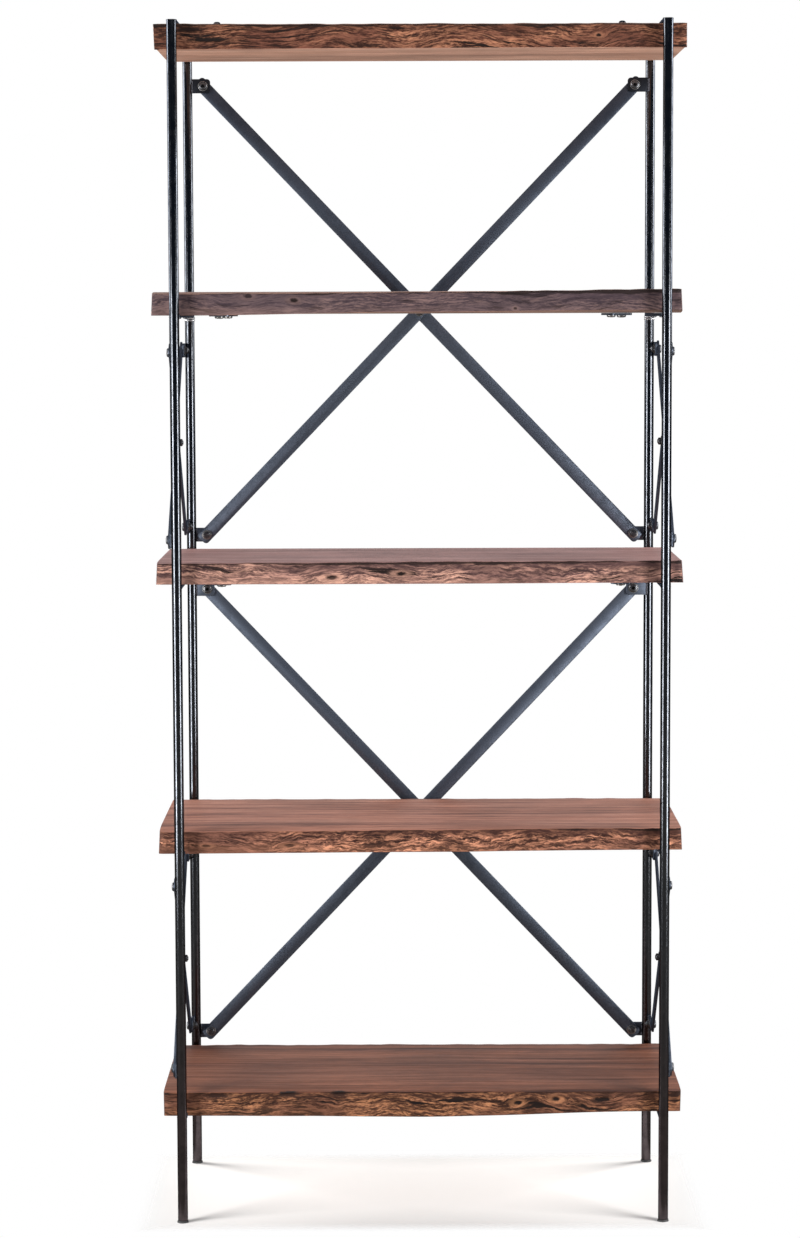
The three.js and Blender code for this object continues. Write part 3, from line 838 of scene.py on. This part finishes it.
def makeSlab(level):
    node = f"shelf_{level}"
    low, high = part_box(node)
    shape = slabShape[level]
    halfLong = high.x
    outer = high.y - slabCut["inset"]
    tall = high.z - low.z
    slab = cube(f"liveEdgeSlab{level}", (low.x, -outer, low.z), (high.x, outer, high.z))
    pick(slab, "edge", lambda a, b: abs(a.x - b.x) > halfLong)
    bpy.ops.mesh.subdivide(number_cuts=slabCut["lengthCuts"])
    done()
    pick(slab, "edge", lambda a, b: abs(a.z - b.z) > 0.5 * tall)
    bpy.ops.mesh.subdivide(number_cuts=slabCut["heightCuts"])
    done()
    for row in slabCut["rows"]:
        for side in (-1, 1):
            pick(slab, "face", lambda centre, normal: True)
            bpy.ops.mesh.bisect(plane_co=(0, side * row, 0), plane_no=(0, 1, 0))
            done()

    def isCorner(co):
        onFace = min(abs(co.z - low.z), abs(co.z - high.z)) < 1e-5
        return onFace and abs(abs(co.y) - outer) < 1e-4

    def isArris(a, b):
        return isCorner(a) and isCorner(b) and abs(a.z - b.z) < 1e-5 and abs(a.y - b.y) < 1e-4

    pick(slab, "edge", isArris)
    bpy.ops.mesh.bevel(offset=slabCut["arris"], segments=3, affect="EDGES")
    done()
    for face in slab.data.polygons:
        isLive = abs(face.normal.y) > 0.72 and abs(face.center.y) > outer - 1e-3
        face.material_index = 2 if abs(face.normal.x) > 0.7 else (1 if isLive else 0)

    def edgeWeight(co):
        return clamped((abs(co.y) - slabCut["edgeFrom"]) / slabCut["edgeOver"])

    def faceWeight(co):
        if abs(co.y) < outer - slabCut["faceDeep"]:
            return 0.0
        depth = min(co.z - low.z, high.z - co.z)
        return clamped(depth / slabCut["faceFade"] + slabCut["faceLeast"])

    def arrisWeight(co):
        start = slabCut["arrisFrom"]
        near = clamped((abs(co.y) - start) / (outer - start))
        return near * near * clamped(1 - (high.z - co.z) / slabCut["arrisDeep"])

    paintGroup(slab, "edge", edgeWeight)
    paintGroup(slab, "face", faceWeight)
    paintGroup(slab, "arris", arrisWeight)
    helpers = []
    for name, group, direction, strength, size, stretch in slabRelief:
        texture = bpy.data.textures.new(f"{name}{level}", "CLOUDS")
        texture.noise_scale = size
        texture.noise_depth = 3 if name in ("bark", "grit") else 1
        helper = stretchHelper(stretch, (0.37 * level, 0, 0))
        helpers.append(helper)
        push = slab.modifiers.new(name, "DISPLACE")
        push.texture = texture
        push.texture_coords = "OBJECT"
        push.texture_coords_object = helper
        push.direction = direction
        push.mid_level = 0.5
        push.strength = strength
        push.vertex_group = group
    applyAll(slab)
    discard(*helpers)
    slab.vertex_groups.clear()
    # the bow of the corners, the saw's lean at the ends, and the worn upright corners
    corner, bowFrom = slabCut["corner"], slabCut["bowFrom"]
    for vert in slab.data.vertices:
        co = vert.co
        rise = (co.z - low.z) / tall
        near = clamped((abs(co.y) - bowFrom) / (outer - bowFrom)) ** 2
        sink, hang = shape["rear"]
        if co.y < 0:
            sink, hang = between(shape["wane"], co.x), between(shape["hang"], co.x)
        co.z -= near * (sink * clamped(rise) + hang * clamped(1 - rise))
        dx, dy = abs(co.x) - (halfLong - corner), abs(co.y) - (outer - corner)
        if dx > 0 and dy > 0:
            pull = max(dx, dy) / math.hypot(dx, dy)
            co.x = math.copysign(halfLong - corner + dx * pull, co.x)
            co.y = math.copysign(outer - corner + dy * pull, co.y)
        lowEnd, highEnd = shape["left" if co.x < 0 else "right"]
        longer = lowEnd + (highEnd - lowEnd) * rise
        co.x *= 1 + longer / halfLong
    for along, rise, halfKnot, tallKnot in slabs[level]["knots"]:
        spotZ = low.z + rise * tall

        def inKnot(co, share):
            dx, dz = (co.x - along) / (halfKnot * share), (co.z - spotZ) / (tallKnot * share)
            margin = slabCut["knotMargin"]
            inside = low.z + margin < co.z < high.z - margin
            return co.y < slabCut["knotFront"] and dx * dx + dz * dz < 1 and inside

        for share, push in slabCut["knotSteps"]:
            pick(slab, "vert", lambda co: inKnot(co, share))
            bpy.ops.transform.translate(value=(0, push, 0))
            done()
    indices = [face.material_index for face in slab.data.polygons]
    coat(slab, *(material(level, low, high) for material in (faceMaterial, edgeMaterial, endMaterial)))
    slab.data.polygons.foreach_set("material_index", indices)
    finish(slab, node, 50)


for level in levels:
    makeSlab(level)
print("five slabs are cut")


# screws, bolts and welds

bolt = {
    "headRadius": 0.0085,
    "headHeight": 0.005,
    "socket": 0.0029,
    "socketDepth": 0.0022,
    "washerRadius": 0.0098,
    "washer": 0.0012,
    "nutAcross": 0.013,
    "nutHeight": 0.0065,
    "shank": 0.004,
    "tail": 0.0015,
    "dome": ((0.94, 0.22), (0.84, 0.17), (0.66, 0.13), (0.42, 0.08)),  # share of radius, of height
}


def domedHead(name, radius, height, socket=0.0):
    # seat at z = 0, dome upwards, a hexagon socket sunk in it
    head = cylinder(name, radius, 0, 0.4 * height, 32)
    for share, rise in bolt["dome"]:
        pick(head, "face", lambda centre, normal: normal.z > 0.9 and centre.z > 0)
        bpy.ops.mesh.extrude_region_move(TRANSFORM_OT_translate={"value": (0, 0, rise * height)})
        done()
        top = max(v.co.z for v in head.data.vertices)
        pick(head, "vert", lambda co: co.z > top - 1e-6)
        now = max(v.co.xy.length for v in head.data.vertices if v.co.z > top - 1e-6)
        factor = share * radius / now
        bpy.ops.transform.resize(value=(factor, factor, 1), center_override=(0, 0, top))
        done()
    if socket:
        floorZ = height - bolt["socketDepth"]
        cutter = cylinder("socketCutter", socket / math.cos(turn / 12), floorZ, 2 * height, 6)
        sink = head.modifiers.new("socket", "BOOLEAN")
        sink.operation = "DIFFERENCE"
        sink.object = cutter
        applyAll(head)
        discard(cutter)
    softenEdges(head, 0.0003, 2, 50)
    return head


def hexNut(name, across, seat, height):
    nut = cylinder(name, across / math.sqrt(3), seat, seat + height, 6)
    # the corners are turned off by a wide cone, as on a pressed nut
    cone = cylinder("nutCone", 0.54 * across, seat, seat + height, 32)
    softenEdges(cone, 0.0011, 1, 50)
    keep = nut.modifiers.new("round", "BOOLEAN")
    keep.operation = "INTERSECT"
    keep.object = cone
    applyAll(nut)
    discard(cone)
    softenEdges(nut, 0.0002, 1, 40)
    return nut


def makeBolt(name, length):
    # along Z: head at the top, nut below, with washers against both seats
    washer = bolt["washer"]
    head = domedHead(f"{name}Head", bolt["headRadius"], bolt["headHeight"] - washer * 0.5, bolt["socket"])
    seat = length / 2 - bolt["headHeight"]
    head.location.z = seat + washer * 0.5
    settle(head)
    bottom = -length / 2
    nutSeat = bottom + bolt["tail"] + bolt["nutHeight"]
    nut = hexNut(f"{name}Nut", bolt["nutAcross"], bottom + bolt["tail"], bolt["nutHeight"] - washer * 0.8)
    shank = cylinder(f"{name}Shank", bolt["shank"], bottom, seat + 0.001, 20)
    softenEdges(shank, 0.0006, 1, 60)
    for part in (head, nut, shank):
        coat(part, iron["bolt"])
    washers = []
    for low in (seat - washer * 0.4, nutSeat - washer * 0.8):
        ring = cylinder(f"{name}Washer", bolt["washerRadius"], low, low + washer, 32)
        softenEdges(ring, 0.0003, 2, 40)
        washers.append(coat(ring, iron["zinc"]))
    return joined(name, [head, nut, shank, *washers])


def facing(direction, place):
    # turns a bolt's +Z to a direction and sets it down
    return Matrix.Translation(place) @ Vector(direction).to_track_quat("Z", "Y").to_matrix().to_4x4()


def laid(x, y, place):
    # turns +X and +Y to two directions
    return Matrix.Translation(place) @ Matrix((x, y, x.cross(y))).transposed().to_4x4()


bead = {"length": 0.024, "radius": 0.0019, "drops": 8, "seed": 11}


def makeBead(name):
    # a weld run along Z: overlapping drops of metal
    draw = random.Random(bead["seed"])
    length, radius, count = bead["length"], bead["radius"], bead["drops"]
    drops = []
    for index in range(count):
        clearSelection()
        at = -length / 2 + length * (index + 0.5) / count
        size = radius * draw.uniform(0.85, 1.15)
        bpy.ops.mesh.primitive_uv_sphere_add(segments=10, ring_count=6, radius=size,
                                             location=(draw.uniform(-1, 1) * 0.15 * radius, 0, at))
        drop = named(f"{name}Drop")
        drop.scale = (1, 0.75, 0.8 * length / count / size + 0.35)
        settle(drop)
        drops.append(drop)
    return coat(joined(name, drops), iron["weld"])


tabBead = makeBead("tabBead")
boltLengths = {}


def boltOfLength(length):
    key = round(length, 5)
    if key not in boltLengths:
        boltLengths[key] = makeBolt(f"boltPattern{len(boltLengths)}", length)
    return boltLengths[key]


backBoltNames = [f"{bay}_{corner}" for bay in bays
                 for corner in ("top_left", "top_right", "bottom_left", "bottom_right", "centre")]
for name in backBoltNames:
    node = f"back_bolt_{name}"
    low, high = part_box(node)
    headWay = 1 if "bottom" in name else -1  # the lower bolts went in from behind
    there = facing((0, headWay, 0), middleOf(node))
    made = copyPiece(boltOfLength(high.y - low.y), f"backBolt_{name}", there)
    finish(made, node)

topBolt = {"radius": 0.007, "height": 0.0075, "seat": 0.005, "socket": 0.0022}
dome = domedHead("domePattern", topBolt["radius"], topBolt["height"], topBolt["socket"])
coat(dome, iron["weld"])
for end in ends:
    for side in sides:
        node = f"top_bolt_{end}_{side}"
        low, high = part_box(node)
        place = ((low.x + high.x) / 2, (low.y + high.y) / 2, high.z - topBolt["seat"])
        made = copyPiece(dome, f"topBolt_{end}_{side}", Matrix.Translation(place))
        finish(made, node)
print("bolts are in")


# posts and their feet

post = {
    "sidesRound": 48,
    "chamfer": 0.0012,
    "tabHeight": 0.028,
    "tabThickness": 0.004,
    "tabRoot": 0.004,
    "tabReach": 0.0455,
    "tabCorner": 0.006,
    "lowTabShorter": 0.004,
    "lowTabCorner": 0.0105,
    "tabEdge": 0.0006,
    "barWidth": 0.026,
    "barThickness": 0.0045,
    "gap": 0.0003,
    "boltProud": 0.0045,
    "beadSlack": 0.001,
    "beadProud": 0.0006,
    # tabs above this height take the darker tab finish as painted shade
    "shadedAbove": 2.1,
}


def makeTab(name, reach, corner):
    # lies along +X from the post's centre line, thickness along Y, centred on z = 0
    half, thick = post["tabHeight"] / 2, post["tabThickness"] / 2
    tab = cube(name, (post["tabRoot"], -thick, -half), (reach, thick, half))
    pick(tab, "edge", lambda a, b: min(a.x, b.x) > reach - 1e-5 and abs(a.y - b.y) > 1e-4)
    bpy.ops.mesh.bevel(offset=corner, segments=5, affect="EDGES")
    done()
    softenEdges(tab, post["tabEdge"], 2, 50)
    return coat(tab, iron["bar"])


tabPatterns = {
    "top": makeTab("highTab", post["tabReach"], post["tabCorner"]),
    "bottom": makeTab("lowTab", post["tabReach"] - post["lowTabShorter"], post["lowTabCorner"]),
}


def rodRadius():
    # the front posts carry no back tabs, so the front of their box is the rod's own
    return middleOf("foot_front_left").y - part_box("post_front_left")[0].y


def tabPlaces(side, end):
    # each tab: top or bottom, where it points, where it faces, height, offset of its middle plane
    axis = middleOf(f"foot_{end}_{side}")
    out = -1 if side == "left" else 1
    inward = 1 if end == "front" else -1
    places = []
    for bay in bays:
        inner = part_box(f"side_brace_{side}_{bay}_inner")
        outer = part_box(f"side_brace_{side}_{bay}_outer")
        reach = post["barWidth"] / 2
        heights = {"top": inner[1].z - reach, "bottom": inner[0].z + reach}
        headFace = {kind: (span[1].x if out > 0 else -span[0].x) - post["boltProud"]
                    for kind, span in (("inner", inner), ("outer", outer))}
        for where, height in heights.items():
            kind = "outer" if (where == "top") == (end == "rear") else "inner"
            plane = headFace[kind] - post["barThickness"] - post["gap"] - post["tabThickness"] / 2
            places.append((where, (0, inward, 0), (out, 0, 0), height, plane - abs(axis.x)))
        if end == "rear":
            for where in ("top", "bottom"):
                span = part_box(f"back_bolt_{bay}_{where}_{side}")
                inset = bolt["headHeight"] + post["gap"] + post["tabThickness"] / 2
                plane = span[0].y + inset if where == "top" else span[1].y - inset
                height = (span[0].z + span[1].z) / 2
                places.append((where, (-out, 0, 0), (0, 1, 0), height, plane - axis.y))
    return axis, places


def makePost(side, end):
    node = f"post_{end}_{side}"
    low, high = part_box(node)
    axis, places = tabPlaces(side, end)
    radius = rodRadius()
    rod = cylinder(f"{node}Rod", radius, low.z, high.z, post["sidesRound"], axis.xy)
    softenEdges(rod, post["chamfer"], 3, 50)
    parts = [coat(rod, iron["rod"])]
    for index, (where, along, face, height, offset) in enumerate(places):
        x, y = Vector(along), Vector(face)
        centre = Vector((axis.x, axis.y, height))
        tab = copyPiece(tabPatterns[where], f"{node}Tab{index}", laid(x, y, centre + y * offset))
        # the highest tabs get the darker tab finish: painted shade
        if height > post["shadedAbove"]:
            coat(tab, iron["tab"])
        parts.append(tab)
        for way in (-1, 1):
            plane = offset + way * post["tabThickness"] / 2
            if abs(plane) > radius + post["beadSlack"]:
                continue
            across = math.sqrt(max(radius ** 2 - plane ** 2, 0)) + post["beadProud"]
            spot = Matrix.Translation(centre + x * across + y * plane)
            parts.append(copyPiece(tabBead, f"{node}Bead{index}", spot))
    finish(joined(node.replace("post", "postRod"), parts), node)


foot = {"flare": 0.0016, "height": 0.004, "sidesRound": 40, "edge": 0.0008}


def makeFoot(side, end):
    node = f"foot_{end}_{side}"
    low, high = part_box(node)
    axis = (low + high) / 2
    radius = (high.x - low.x) / 2
    pad = cylinder(f"foot_pad_{end}_{side}", radius - foot["flare"], low.z, low.z + foot["height"],
                   foot["sidesRound"], axis.xy)
    pick(pad, "face", lambda centre, normal: normal.z < -0.9)
    bpy.ops.transform.resize(value=(radius / (radius - foot["flare"]),) * 2 + (1,),
                             center_override=(axis.x, axis.y, low.z))
    done()
    softenEdges(pad, foot["edge"], 3, 40)
    coat(pad, footRubber)
    finish(pad, node)


for side in sides:
    for end in ends:
        makePost(side, end)
        makeFoot(side, end)
print("posts stand")


# rails and battens

rail = {
    "width": 0.020,
    "thickness": 0.006,
    "edge": 0.0007,
    "endShort": 0.006,
    "screwRadius": 0.006,
    "screwHeight": 0.0025,
    "screwInward": 0.110,
    "screwBelow": 0.020,  # the screws of the top rails reach this far under them
    "bead": 0.0018,
    "beadRing": 0.0092,
    "beadSink": 0.0004,
    "beadFrom": 0.004,
    # the level whose rear welds get the painted highlight, and how far below them the two more bright rings
    # hang
    "brightLevel": 4,
    "brightDrops": (0.002, 0.0065),
}
screwHead = coat(domedHead("screwHead", rail["screwRadius"], rail["screwHeight"]), iron["bolt"])


def makeRail(side, level):
    node = f"rail_{side}_{level}"
    low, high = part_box(node)
    axis = middleOf(f"foot_front_{side}")
    over = level == topLevel
    bottom = low.z + (rail["screwBelow"] if over else rail["screwHeight"])
    top = bottom + rail["thickness"]
    reach = abs(axis.y) - rail["endShort"]
    middle, half = (low.x + high.x) / 2, rail["width"] / 2
    bar = cube(f"{node}Bar", (middle - half, -reach, bottom), (middle + half, reach, top))
    softenEdges(bar, rail["edge"], 2, 50)
    parts = [coat(bar, iron["bar"])]
    seat = top if over else bottom
    way = 1 if over else -1
    screwY = abs(axis.y) - rail["screwInward"]
    for end in (-1, 1):
        spot = Vector((middle, end * screwY, seat))
        parts.append(copyPiece(screwHead, f"{node}Screw", facing((0, 0, way), spot)))
        clearSelection()
        bpy.ops.mesh.primitive_torus_add(
            major_radius=rail["beadRing"], minor_radius=rail["bead"], major_segments=40, minor_segments=8,
            location=(axis.x, end * abs(axis.y), seat - way * rail["beadSink"]))
        ring = named(f"{node}Ring")
        settle(ring)
        if level == rail["brightLevel"] and end > 0:  # painted highlight: the rear welds here are coloured bright all round, and two more bright rings hang below them
            coat(ring, iron["weldHighlight"])
            for drop in rail["brightDrops"]:
                parts.append(copyPiece(ring, f"{node}Bright", Matrix.Translation((0, 0, -drop))))
        # the weld runs only round the inner half of the rod
        pick(ring, "face", lambda centre, normal: True)
        bpy.ops.mesh.bisect(plane_co=(0, end * (abs(axis.y) - rail["beadFrom"]), 0),
                            plane_no=(0, end, 0), clear_outer=True, use_fill=True)
        done()
        parts.append(coat(ring, iron["weld"]))
    finish(joined(node.replace("rail", "sideRail"), parts), node)


batten = {
    "thickness": 0.004,
    "corner": 0.006,
    "edge": 0.0006,
    "headRadius": 0.009,
    "headHeight": 0.0045,
    "socket": 0.003,
    "boltEnd": 0.020,
}
battenHead = domedHead("battenHead", batten["headRadius"], batten["headHeight"], batten["socket"])
coat(battenHead, iron["zinc"])


def makeBatten(side, level):
    node = f"batten_{side}_{level}"
    low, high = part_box(node)
    bottom = low.z + batten["headHeight"]
    plate = cube(f"{node}Plate", (low.x, low.y, bottom), (high.x, high.y, bottom + batten["thickness"]))
    pick(plate, "edge", lambda a, b: abs(a.z - b.z) > 1e-4)
    bpy.ops.mesh.bevel(offset=batten["corner"], segments=5, affect="EDGES")
    done()
    softenEdges(plate, batten["edge"], 2, 50)
    parts = [coat(plate, iron["bar"])]
    for end in (-1, 1):
        spot = Vector(((low.x + high.x) / 2, end * (high.y - batten["boltEnd"]), bottom))
        parts.append(copyPiece(battenHead, f"{node}Head", facing((0, 0, -1), spot)))
    finish(joined(node.replace("batten", "underBatten"), parts), node)


for side in sides:
    for level in levels:
        makeRail(side, level)
        if level != topLevel:
            makeBatten(side, level)
print("rails and battens are on")


# brace bars

brace = {
    "width": post["barWidth"],
    "thickness": post["barThickness"],
    "edge": 0.0008,
    "past": 0.0155,
    "corner": 0.0075,
}
tabBoltLength = (bolt["tail"] + bolt["nutHeight"] + 2 * post["gap"] + post["tabThickness"]
                 + brace["thickness"] + bolt["headHeight"])


def makeBar(name, middle, along, face):
    # a flat bar with rounded ends past its bolts, laid along one way and facing another
    half = along.length / 2 + brace["past"]
    thick, wide = brace["thickness"] / 2, brace["width"] / 2
    bar = cube(name, (-half, -thick, -wide), (half, thick, wide))
    pick(bar, "edge", lambda a, b: abs(a.y - b.y) > 1e-4)
    bpy.ops.mesh.bevel(offset=brace["corner"], segments=4, affect="EDGES")
    done()
    softenEdges(bar, brace["edge"], 2, 50)
    bar.matrix_world = laid(along.normalized(), Vector(face), middle)
    settle(bar)
    return coat(bar, iron["bar"])


backBars = (("falling", "top_left", "bottom_right"), ("rising", "bottom_left", "top_right"))
for bay in bays:
    for kind, first, last in backBars:
        node = f"back_brace_{bay}_{kind}"
        along = middleOf(f"back_bolt_{bay}_{last}") - middleOf(f"back_bolt_{bay}_{first}")
        along.y = 0
        made = makeBar(node.replace("back_brace", "backBrace"), middleOf(node), along, (0, 1, 0))
        finish(made, node)

for side, out in zip(sides, (-1, 1)):
    for bay in bays:
        for kind, rise in (("inner", -1), ("outer", 1)):
            node = f"side_brace_{side}_{bay}_{kind}"
            low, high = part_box(node)
            reach = brace["width"] / 2
            boltY, topZ, lowZ = high.y - reach, high.z - reach, low.z + reach
            headFace = (high.x if out > 0 else -low.x) - post["boltProud"]
            plane = out * (headFace - brace["thickness"] / 2)
            along = Vector((0, 2 * boltY, rise * (topZ - lowZ)))
            middle = Vector((plane, 0, (topZ + lowZ) / 2))
            parts = [makeBar(f"{node}Bar", middle, along, (out, 0, 0))]
            boltX = out * (headFace + post["boltProud"] - tabBoltLength / 2)
            for way in (-1, 1, 0) if kind == "outer" else (-1, 1):
                spot = Vector((boltX, way * boltY, middle.z + way * rise * (topZ - lowZ) / 2))
                there = facing((out, 0, 0), spot)
                parts.append(copyPiece(boltOfLength(tabBoltLength), f"{node}Bolt", there))
            finish(joined(node.replace("side_brace", "sideBrace"), parts), node)
print("braces are bolted on")


# light for the floor: beside each foot stands a low lamp, and only that foot's post shades it
floorLamp = {
    "away": 0.6,
    "height": 0.42,
    "size": (0.34, 0.1),
    "watts": 1.38,
    "spreadDeg": 60,
    "bearing": {"front": 58, "rear": 115},
    "inward": 0.42,
}


def linkGroup(name, pieces, state="INCLUDE"):
    group = bpy.data.collections.new(name)
    for piece in pieces:
        group.objects.link(piece)
    for entry in group.collection_objects:
        entry.light_linking.link_state = state
    return group


def makeFloorLamps():
    onFloor = linkGroup("floorOnly", [floor])
    offFloor = linkGroup("allButFloor", [floor], "EXCLUDE")
    for lamp in roomLamps:
        lamp.light_linking.receiver_collection = offFloor
    for end in ends:
        bearing = math.radians(floorLamp["bearing"][end])
        for side, out in zip(sides, (-1, 1)):
            spot = middleOf(f"foot_{end}_{side}")
            spot.z = 0
            way = Vector((out * math.sin(bearing), -math.cos(bearing), 0))
            place = spot + way * floorLamp["away"] + Vector((0, 0, floorLamp["height"]))
            aim = spot - way * floorLamp["inward"]
            lamp = softbox(f"floorLamp_{end}_{side}", place, floorLamp["size"], floorLamp["watts"], aim)
            lamp.data.spread = math.radians(floorLamp["spreadDeg"])
            lamp.visible_glossy = False
            shades = [bpy.data.objects[f"postRod_{end}_{side}"], bpy.data.objects[f"foot_pad_{end}_{side}"]]
            lamp.light_linking.receiver_collection = onFloor
            lamp.light_linking.blocker_collection = linkGroup(f"shade_{end}_{side}", shades)


makeFloorLamps()
print("floor is lit")

discard(tabBead, dome, screwHead, battenHead, *tabPatterns.values(), *boltLengths.values())
